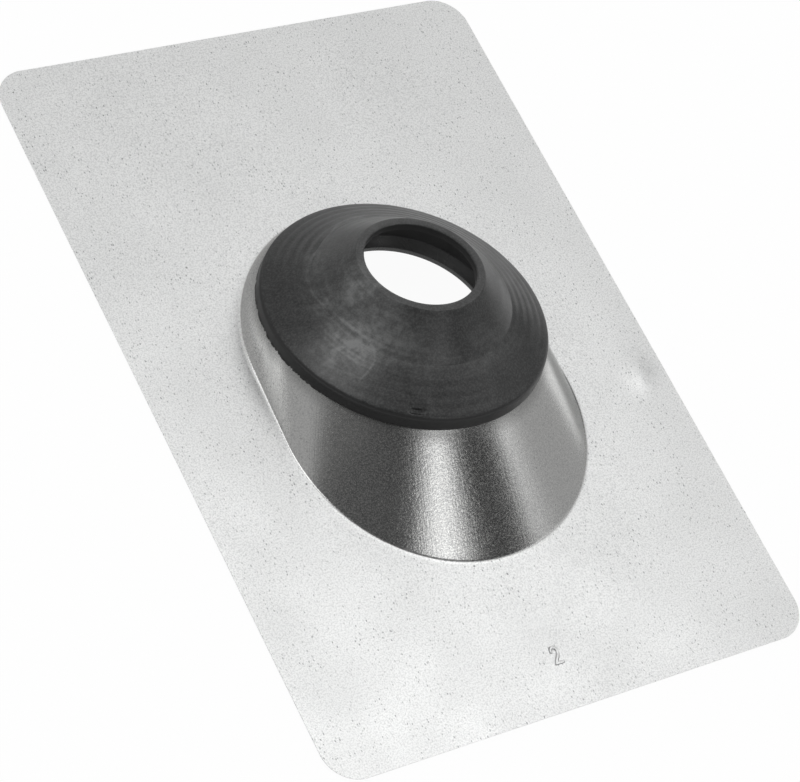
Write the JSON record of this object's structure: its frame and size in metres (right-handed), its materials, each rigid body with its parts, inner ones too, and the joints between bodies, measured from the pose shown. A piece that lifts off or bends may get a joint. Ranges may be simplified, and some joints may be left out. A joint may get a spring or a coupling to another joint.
{
  "type": "pipe flashing boot",
  "caption": "Roof flashing boot: a flat rounded sheet-metal flange with an oblique drawn dome, topped by a black rubber cone collar that grips a vent pipe.",
  "frame": {"origin": "centre of the flange's underside, which lies on the roof", "axes": "+Y up the slope along the flange's long side, +X across the slope, +Z out of the roof"},
  "size_m": [0.2222, 0.3174, 0.0469],
  "materials": {
    "galvanised_sheet": "galvanised, satin, fine speckle and draw lines",
    "collar_rubber": "semi-matt moulded rubber"
  },
  "bodies": {
    "root": {"metal_base": "galvanised_sheet", "rubber_collar": "collar_rubber"}
  },
  "joints": []
}
